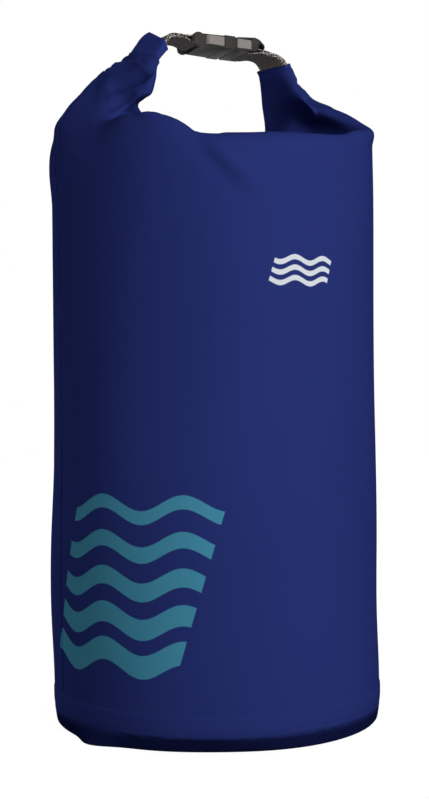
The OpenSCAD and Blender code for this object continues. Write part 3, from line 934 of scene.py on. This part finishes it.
def step_up(tree, value, start, end):
    """0 below start, 1 above end, smooth between."""
    node = tree.nodes.new("ShaderNodeMapRange")
    node.interpolation_type = "SMOOTHSTEP"
    tree.links.new(value, node.inputs["Value"])
    node.inputs["From Min"].default_value, node.inputs["From Max"].default_value = start, end
    return node.outputs["Result"]


def mix_colour(tree, share, first, second):
    node = tree.nodes.new("ShaderNodeMix")
    node.data_type = "RGBA"
    for label, value in (("Factor", share), (6, first), (7, second)):
        feed(tree, node.inputs[label], value)
    return node.outputs[2]


def new_group(name, inputs, outputs):
    """An empty node group with float inputs {name: value} and float outputs."""
    group = bpy.data.node_groups.new(name, "ShaderNodeTree")
    for label, value in inputs.items():
        group.interface.new_socket(label, in_out="INPUT", socket_type="NodeSocketFloat").default_value = value
    for label in outputs:
        group.interface.new_socket(label, in_out="OUTPUT", socket_type="NodeSocketFloat")
    return group, group.nodes.new("NodeGroupInput").outputs, group.nodes.new("NodeGroupOutput").inputs


def use(tree, group, **inputs):
    node = tree.nodes.new("ShaderNodeGroup")
    node.node_tree = group
    for label, value in inputs.items():
        feed(tree, node.inputs[label], value)
    return node.outputs


def object_place(tree):
    return tree.nodes.new("ShaderNodeTexCoord").outputs["Object"]


def noise(tree, scale, detail):
    node = tree.nodes.new("ShaderNodeTexNoise")
    tree.links.new(object_place(tree), node.inputs["Vector"])
    feed(tree, node.inputs["Scale"], scale)
    node.inputs["Detail"].default_value = detail
    return node.outputs["Fac"]


def finish_of(name, slot_colour, roughness, specular):
    """A Principled material with plain values; returns it with its tree and shader node."""
    material = bpy.data.materials.new(name)
    material.use_nodes = True
    shader = material.node_tree.nodes["Principled BSDF"]
    shader.inputs["Base Color"].default_value = slot_colour
    shader.inputs["Roughness"].default_value = roughness
    shader.inputs["Specular IOR Level"].default_value = specular
    return material, material.node_tree, shader


def bump(tree, shader, height, strength, distance):
    node = tree.nodes.new("ShaderNodeBump")
    node.inputs["Strength"].default_value = strength
    node.inputs["Distance"].default_value = distance * MM
    tree.links.new(height, node.inputs["Height"])
    tree.links.new(node.outputs["Normal"], shader.inputs["Normal"])


# %% [markdown]
# ## Shared effects
# Four node groups are built once and then placed in the finishes. The first turns a place on the bag
# into millimetres round the tube and up it. The others put out a height or a tone, from values that
# each finish can set.

# %% Shared effects
round_cloth, _, ends = new_group("round_cloth", {}, ("Around", "Up"))
xyz = round_cloth.nodes.new("ShaderNodeSeparateXYZ")
round_cloth.links.new(object_place(round_cloth), xyz.inputs[0])
turned = calc(round_cloth, "ARCTAN2", xyz.outputs[0], calc(round_cloth, "MULTIPLY", xyz.outputs[1], -1.0))
round_cloth.links.new(calc(round_cloth, "MULTIPLY", turned, TUBE_R), ends["Around"])
round_cloth.links.new(calc(round_cloth, "MULTIPLY", xyz.outputs[2], 1 / MM), ends["Up"])

weave, starts, ends = new_group("plain_weave", {"Along": 0.0, "Across": 0.0, "Pitch": 0.8}, ("Height",))
threads = []
for label in ("Along", "Across"):
    cycle = calc(weave, "DIVIDE", calc(weave, "MULTIPLY", starts[label], 2 * math.pi), starts["Pitch"])
    threads.append(calc(weave, "SINE", cycle))
weave.links.new(calc(weave, "MULTIPLY_ADD", calc(weave, "MULTIPLY", *threads), 0.5, 0.5), ends["Height"])

patches, starts, ends = new_group("patchy_tone", {"Scale": 14.0, "Amount": 0.1}, ("Tone",))
swing = calc(patches, "SUBTRACT", noise(patches, starts["Scale"], 4.0), 0.5)
doubled = calc(patches, "MULTIPLY", starts["Amount"], 2.0)
patches.links.new(calc(patches, "MULTIPLY_ADD", swing, doubled, 1.0), ends["Tone"])

grain, starts, ends = new_group("mould_grain", {"Scale": 1600.0}, ("Height",))
grain.links.new(noise(grain, starts["Scale"], 2.0), ends["Height"])
print("groups:", ", ".join(group.name for group in (round_cloth, weave, patches, grain)))


def toned(tree, shader, colour, scale, amount):
    """Colours a shader in a patchy tone, and returns that colour."""
    tone = use(tree, patches, Scale=scale, Amount=amount)["Tone"]
    node = tree.nodes.new("ShaderNodeVectorMath")
    node.operation = "SCALE"
    node.inputs[0].default_value = colour[:3]
    tree.links.new(tone, node.inputs["Scale"])
    tree.links.new(node.outputs[0], shader.inputs["Base Color"])
    return node.outputs[0]


# %% [markdown]
# ## Fabric with a print
# The coated fabric is navy. It carries a plain print: a few broad teal ripples low at the left and
# three short pale ones high at the right. A ripple is a line of height that follows a sine, and a
# slanted field cuts it off. Everything is worked out from the cloth coordinates, so no picture is
# needed and the print bends with the bag.

# %% Coated fabric
NAVY = (0.0168, 0.0260, 0.136, 1)
# Painted shade: a darker navy that the fabric takes near the floor, where the underside turns away from the
# light.
UNDERSIDE_SHADE = (0.0046, 0.0070, 0.038, 1)
TEAL = (0.047, 0.215, 0.32, 1)
PALE = (0.55, 0.58, 0.62, 1)
BROAD = {"around": -118.0, "up": 112.0, "half_w": 58.0, "lines": 5, "pitch": 25.0, "swing": 5.5,
         "length": 60.0, "slant": 0.3, "thicker_below": 0.16}
SHORT = {"around": 12.0, "up": 322.0, "half_w": 24.0, "lines": 3, "pitch": 7.0, "swing": 1.9,
         "length": 24.0, "slant": 0.3, "thicker_below": 0.0}
SOFT = 0.35
SHADE_FULL_BELOW, SHADE_GONE_ABOVE = 7.0, 14.0
THREADS_ROUND = 900


def ripples(tree, around, up, field):
    """1 on one of the ripples of a field, 0 elsewhere."""
    half_h = field["lines"] * field["pitch"] / 2
    aside = calc(tree, "SUBTRACT", around, field["around"])
    lift = calc(tree, "SUBTRACT", up, field["up"])
    crest = calc(tree, "SINE", calc(tree, "MULTIPLY", aside, 2 * math.pi / field["length"]))
    height = calc(tree, "MULTIPLY_ADD", crest, field["swing"], lift)
    from_gap = calc(tree, "PINGPONG", calc(tree, "ADD", height, half_h), field["pitch"] / 2)
    widen = field["thicker_below"] * field["pitch"] / half_h / 2
    gap = calc(tree, "MULTIPLY_ADD", height, widen, field["pitch"] / 4)
    line = step_up(tree, calc(tree, "SUBTRACT", from_gap, gap), -SOFT, SOFT)
    tall = step_up(tree, calc(tree, "SUBTRACT", half_h, calc(tree, "ABSOLUTE", height)), -SOFT, SOFT)
    lean = calc(tree, "MULTIPLY_ADD", lift, -field["slant"], aside)
    wide = step_up(tree, calc(tree, "SUBTRACT", field["half_w"], calc(tree, "ABSOLUTE", lean)), -SOFT, SOFT)
    return calc(tree, "MULTIPLY", line, calc(tree, "MULTIPLY", tall, wide))


coated, tree, shader = finish_of("coated_fabric", NAVY, roughness=0.75, specular=0.0)
cloth = use(tree, round_cloth)
colour = toned(tree, shader, NAVY, scale=9.0, amount=0.07)
for field, ink in ((BROAD, TEAL), (SHORT, PALE)):
    colour = mix_colour(tree, ripples(tree, cloth["Around"], cloth["Up"], field), colour, ink)
# Painted shade: the fabric is darkened towards the floor, fully below 7 mm and not at all above 14 mm.
painted_underside_shade = calc(tree, "SUBTRACT", 1.0, step_up(tree, cloth["Up"], SHADE_FULL_BELOW, SHADE_GONE_ABOVE))
tree.links.new(mix_colour(tree, painted_underside_shade, colour, UNDERSIDE_SHADE), shader.inputs["Base Color"])
pitch = 2 * math.pi * TUBE_R / THREADS_ROUND
threads = use(tree, weave, Along=cloth["Around"], Across=cloth["Up"], Pitch=pitch)["Height"]
crumple = calc(tree, "MULTIPLY_ADD", noise(tree, 55.0, 4.0), 6.0, threads)
bump(tree, shader, crumple, strength=0.35, distance=0.12)
print("print on the fabric:", BROAD["lines"], "broad ripples and", SHORT["lines"], "short ones")

# %% [markdown]
# ## Hem, webbing and plastic
# The hem is much the same cloth, without a print, made a little lighter as painted light on the cuffs.
# The webbing is charcoal twill: slanted ribs that follow the ribbon, a darker edge, and pale flecks
# where its edge has been rubbed. The buckle is moulded in a dark and a light plastic, and the strips in a
# white one. All are a little uneven in tone.

# %% Hem fabric
# Painted light: the hem is the navy cloth made about a fifth lighter, which stands in for the light on the
# cuffs.
HEM_PAINTED_LIGHTER = (0.0205, 0.0320, 0.166, 1)
hem, tree, shader = finish_of("hem_fabric", HEM_PAINTED_LIGHTER, roughness=0.75, specular=0.0)
toned(tree, shader, HEM_PAINTED_LIGHTER, scale=20.0, amount=0.08)
bump(tree, shader, noise(tree, 160.0, 4.0), strength=0.3, distance=0.25)
print("finish:", hem.name)

# %% Charcoal webbing
CHARCOAL = (0.125, 0.107, 0.099, 1)
SHADE = (0.027, 0.0235, 0.022, 1)
FLECK = (0.50, 0.47, 0.45, 1)
TWILL, PICK = 2.0, 0.9
EDGE_FROM, EDGE_TO = 9.6, 11.6
FLECK_SCALE, FLECK_FROM, FLECK_TO = 900.0, 0.48, 0.58
strap_finish, tree, shader = finish_of("webbing", CHARCOAL, roughness=0.8, specular=0.2)
lie = tree.nodes.new("ShaderNodeAttribute")
lie.attribute_name = "strap"
parts = tree.nodes.new("ShaderNodeSeparateXYZ")
tree.links.new(lie.outputs["Vector"], parts.inputs[0])
length, across = parts.outputs[0], parts.outputs[1]
diagonal = calc(tree, "ADD", length, across)
twill = calc(tree, "SINE", calc(tree, "MULTIPLY", diagonal, 2 * math.pi / TWILL))
picks = calc(tree, "SINE", calc(tree, "MULTIPLY", length, 2 * math.pi / PICK))
colour = toned(tree, shader, CHARCOAL, scale=400.0, amount=0.5)
darker = mix_colour(tree, calc(tree, "MULTIPLY_ADD", twill, 0.3, 0.35), colour, SHADE)
at_edge = step_up(tree, calc(tree, "ABSOLUTE", across), EDGE_FROM, EDGE_TO)
rubbed = step_up(tree, noise(tree, FLECK_SCALE, 2.0), FLECK_FROM, FLECK_TO)
edged = mix_colour(tree, at_edge, darker, SHADE)
flecked = mix_colour(tree, calc(tree, "MULTIPLY", at_edge, rubbed), edged, FLECK)
tree.links.new(flecked, shader.inputs["Base Color"])
bump(tree, shader, calc(tree, "ADD", twill, picks), strength=0.5, distance=0.15)
print("finish:", strap_finish.name)

# %% Plastics
DARK = (0.038, 0.0345, 0.0323, 1)
LIGHT = (0.228, 0.211, 0.203, 1)
STRIP = (0.75, 0.75, 0.73, 1)


def plastic(name, colour, roughness):
    material, tree, shader = finish_of(name, colour, roughness, specular=0.05)
    toned(tree, shader, colour, scale=60.0, amount=0.12)
    bump(tree, shader, use(tree, grain)["Height"], strength=0.25, distance=0.1)
    return material


dark, light = plastic("buckle_dark", DARK, 0.45), plastic("buckle_light", LIGHT, 0.42)
strip = plastic("stiffener_plastic", STRIP, 0.5)
print("finishes:", ", ".join(finish.name for finish in (dark, light, strip)))

# %% [markdown]
# ## Onto the bodies
# Each piece gets its finish, and the solids that it stands for are hidden. Most pieces follow a body;
# the skin, its lap, the strips in it and the left webbing keep their place in the bag's frame.

# %% Dress and attach
FOLD_START, FOLD_END = (0, 0, 0.425), (0, 0, 0.478)
SLACK_START, SLACK_END = (-0.044, 0, 0.503), (-0.018, 0, 0.503)


def dress(piece, material, slot, *nodes):
    piece.data.materials.clear()
    piece.data.materials.append(material)
    if nodes:
        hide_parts(*nodes)


smooth_shading(skin, 60)
smooth_shading(base, 35)
smooth_shading(lap, 35)
dress(skin, coated, "coated_fabric", "tube_wall", "rolled_collar")
dress(lap, coated, "coated_fabric", "side_seam_lap")
dress(base, coated, "coated_fabric", "base_panel")
dress(roll_ends, coated, "coated_fabric")
dress(cuffs, hem, "hem_fabric", "mouth_hem")
dress(left_strap, strap_finish, "webbing", "left_webbing")
dress(right_strap, strap_finish, "webbing", "right_webbing")
dress(socket, dark, "buckle_dark", "buckle_socket")
dress(plug, dark, "buckle_dark", "buckle_plug")
for node, piece in levers.items():
    dress(piece, light, "buckle_light", node)
    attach(piece, node + "_body")
for node, piece in strips.items():
    dress(piece, strip, "stiffener_plastic", node)
    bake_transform(piece)
    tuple(FOLD_START)
    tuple(FOLD_END)

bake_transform(skin)
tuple(FOLD_START)
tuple(FOLD_END)
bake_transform(lap)
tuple(FOLD_START)
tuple(FOLD_END)
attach(base, "bag")
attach(roll_ends, "closure")
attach(cuffs, "closure")
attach(right_strap, "closure")
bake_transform(left_strap)
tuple(SLACK_START)
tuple(SLACK_END)
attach(plug, "closure")
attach(socket, "socket")

# %% [markdown]
# ## Studio
# A product picture has a white surround and a soft shadow on the floor. The white that the camera sees
# comes from the Light Path node and not from more light, so that the fabric keeps the colour that is
# written in its material. Near the bag the floor glows a little less, which keeps the shadow.

# %% Floor and surround
AMBIENT = 0.2
FLOOR_TONE, FLOOR_GLOW, GLOW_FULL_FROM, GLOW_FULL_AT = 0.06, 0.94, 0.25, 0.8
bpy.ops.object.select_all(action="DESELECT")
bpy.ops.mesh.primitive_plane_add(size=8, location=(0, 0, 0))
floor = bpy.context.object
floor.name = "floor"


def seen_directly(tree):
    """1 where the camera, a reflection or glass looks at a surface, 0 for the light it gives off."""
    path = tree.nodes.new("ShaderNodeLightPath")
    most = calc(tree, "MAXIMUM", path.outputs["Is Camera Ray"], path.outputs["Is Glossy Ray"])
    return calc(tree, "MAXIMUM", most, path.outputs["Is Transmission Ray"])


world = bpy.data.worlds.new("studio")
bpy.context.scene.world = world
world.use_nodes = True
background = world.node_tree.nodes["Background"]
background.inputs["Color"].default_value = (1, 1, 1, 1)
brightness = calc(world.node_tree, "MULTIPLY_ADD", seen_directly(world.node_tree), 1 - AMBIENT, AMBIENT)
world.node_tree.links.new(brightness, background.inputs["Strength"])

floor_finish = bpy.data.materials.new("floor_paper")
floor_finish.use_nodes = True
tree, shader = floor_finish.node_tree, floor_finish.node_tree.nodes["Principled BSDF"]
shader.inputs["Base Color"].default_value = (FLOOR_TONE, FLOOR_TONE, FLOOR_TONE, 1)
shader.inputs["Roughness"].default_value = 0.9
shader.inputs["Emission Color"].default_value = (1, 1, 1, 1)
away = tree.nodes.new("ShaderNodeVectorMath")
away.operation = "LENGTH"
tree.links.new(object_place(tree), away.inputs[0])
far = step_up(tree, away.outputs["Value"], GLOW_FULL_FROM, GLOW_FULL_AT)
glow = calc(tree, "MULTIPLY_ADD", far, 1 - FLOOR_GLOW, FLOOR_GLOW)
tree.links.new(calc(tree, "MULTIPLY", glow, seen_directly(tree)), shader.inputs["Emission Strength"])
floor.data.materials.append(floor_finish)
print("floor and surround: ambient", AMBIENT, "and floor tone", FLOOR_TONE)

# %% [markdown]
# ## Lamps
# One large soft lamp stands at the front right and models the round tube. A weak one hangs above, and
# a small one stands low behind the bag at the left, so that its left edge doesn't sink into black.

# %% Lamps
AIM_AT = Vector((0, 0, 0.25))
LAMPS = {
    "soft_front_right": {"at": (0.17, -1.4, 0.62), "size": 1.0, "watts": 22.5},
    "top": {"at": (0.3, -0.2, 1.9), "size": 1.2, "watts": 0.5},
    "back_left": {"at": (-0.55, 0.72, 0.06), "size": 0.4, "watts": 5},
}
for name, lamp in LAMPS.items():
    data = bpy.data.lights.new(name, "AREA")
    data.size = lamp["size"]
    data.energy = lamp["watts"]
    stand = bpy.data.objects.new(name, data)
    bpy.context.scene.collection.objects.link(stand)
    stand.location = lamp["at"]
    stand.rotation_euler = (AIM_AT - stand.location).to_track_quat("-Z", "Y").to_euler()
bpy.context.scene.view_settings.view_transform = "Standard"
print("lamps:", ", ".join(LAMPS))
